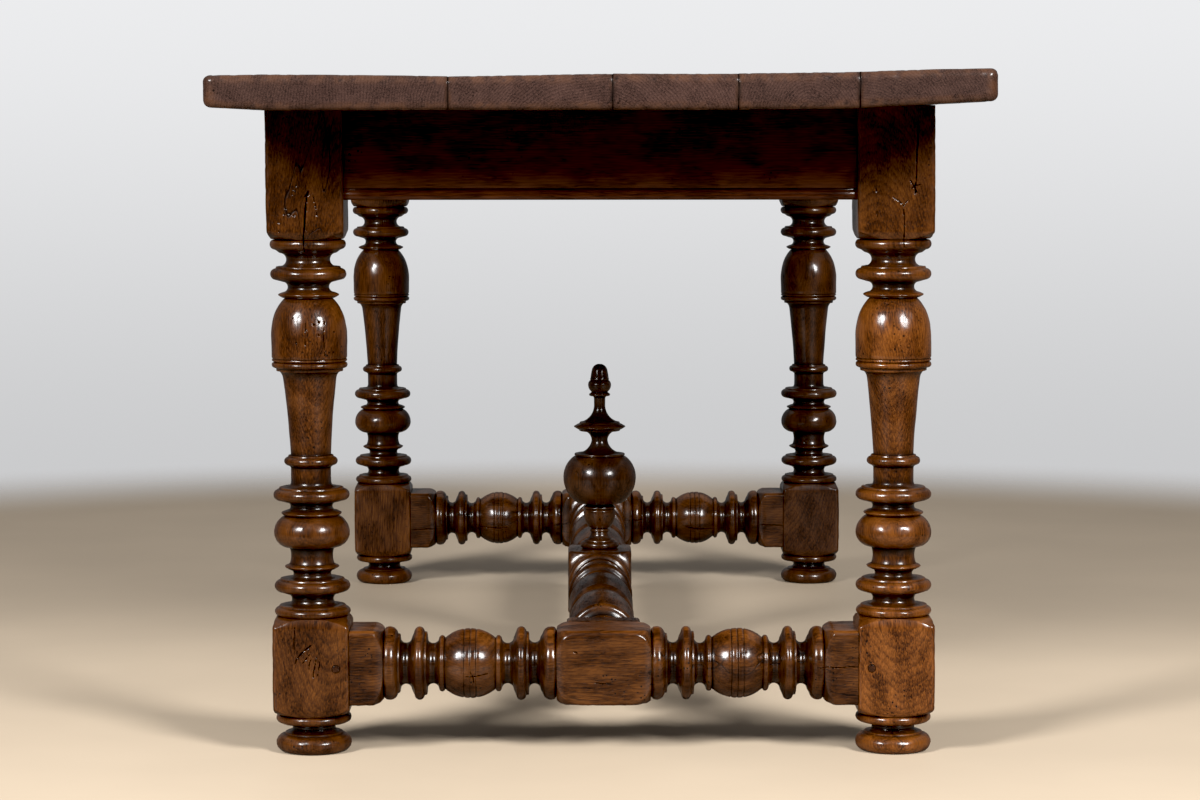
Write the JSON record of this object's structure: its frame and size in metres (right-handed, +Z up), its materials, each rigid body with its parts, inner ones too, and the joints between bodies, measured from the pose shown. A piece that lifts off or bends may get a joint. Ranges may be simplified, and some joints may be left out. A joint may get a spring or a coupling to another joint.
{
  "type": "refectory table",
  "caption": "Long dining table with a plank top and aprons on turned legs, which turned stretchers tie near the floor; a turned finial stands on the centre stretcher.",
  "frame": {"origin": "on the floor, under the middle of the table", "axes": "+Z up, X across the width, Y along the length; the pictured end is at -Y"},
  "size_m": [0.841, 1.814, 0.76],
  "materials": {
    "top_wood": "waxed",
    "leg_wood": "waxed",
    "apron_wood": "waxed",
    "stretcher_wood": "waxed",
    "finial_wood": "waxed",
    "peg_wood": "waxed",
    "hidden_wood": "waxed",
    "screw_steel": "dull"
  },
  "bodies": {
    "root": {"top_board_1": "top_wood", "top_board_2": "top_wood", "top_board_3": "top_wood", "top_board_4": "top_wood", "top_board_5": "top_wood", "seam_tenons_1": "hidden_wood", "seam_tenons_2": "hidden_wood", "seam_tenons_3": "hidden_wood", "seam_tenons_4": "hidden_wood", "leg_near_left": "leg_wood", "leg_near_right": "leg_wood", "leg_far_left": "leg_wood", "leg_far_right": "leg_wood", "end_apron_near": "apron_wood", "end_apron_far": "apron_wood", "side_apron_left": "apron_wood", "side_apron_right": "apron_wood", "end_stretcher_near": "stretcher_wood", "end_stretcher_far": "stretcher_wood", "centre_stretcher": "stretcher_wood", "finial": "finial_wood", "leg_pegs": "peg_wood", "stretcher_pegs": "peg_wood", "top_buttons": "hidden_wood", "button_screws": "screw_steel"}
  },
  "joints": []
}
